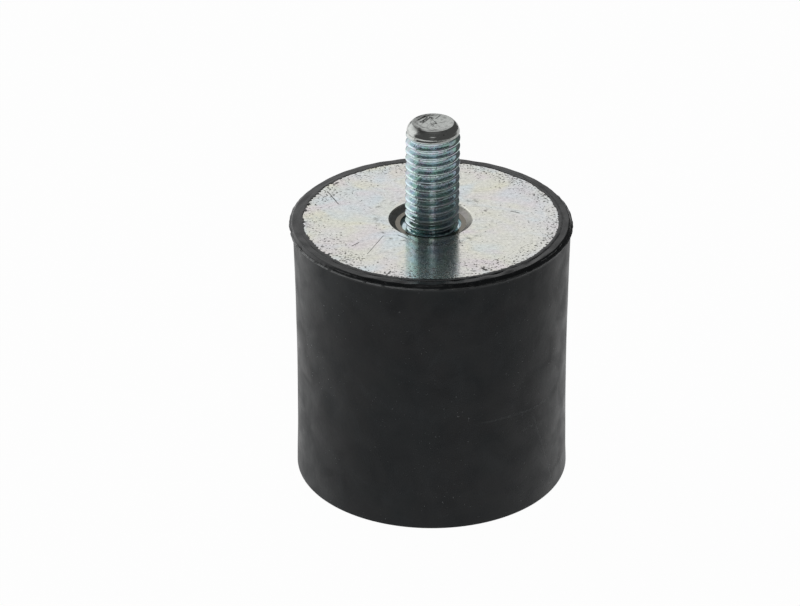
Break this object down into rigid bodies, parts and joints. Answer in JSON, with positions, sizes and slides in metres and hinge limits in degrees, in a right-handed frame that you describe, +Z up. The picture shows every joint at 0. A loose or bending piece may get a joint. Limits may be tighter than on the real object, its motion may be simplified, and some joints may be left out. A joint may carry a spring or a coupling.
{
  "type": "bobbin vibration mount",
  "caption": "Cylindrical rubber vibration mount with a steel plate in each end, a threaded stud on one end and a tapped hole in the other.",
  "frame": {"origin": "centre of the lower end face, on the mount's axis", "axes": "+Z up the mount's axis, from the tapped end to the stud; the mount is round, so +X and +Y are free"},
  "size_m": [0.0408, 0.0408, 0.0553],
  "materials": {
    "rubber": "satin moulded rubber",
    "zinc_plated_plate": "satin zinc plating, lightly stained",
    "zinc_plated_stud": "bright zinc plating, blue passivated"
  },
  "bodies": {
    "root": {"rubber_body": "rubber", "top_plate": "zinc_plated_plate", "threaded_stud": "zinc_plated_stud", "bottom_plate": "zinc_plated_plate", "tapped_insert": "zinc_plated_stud"}
  },
  "joints": []
}
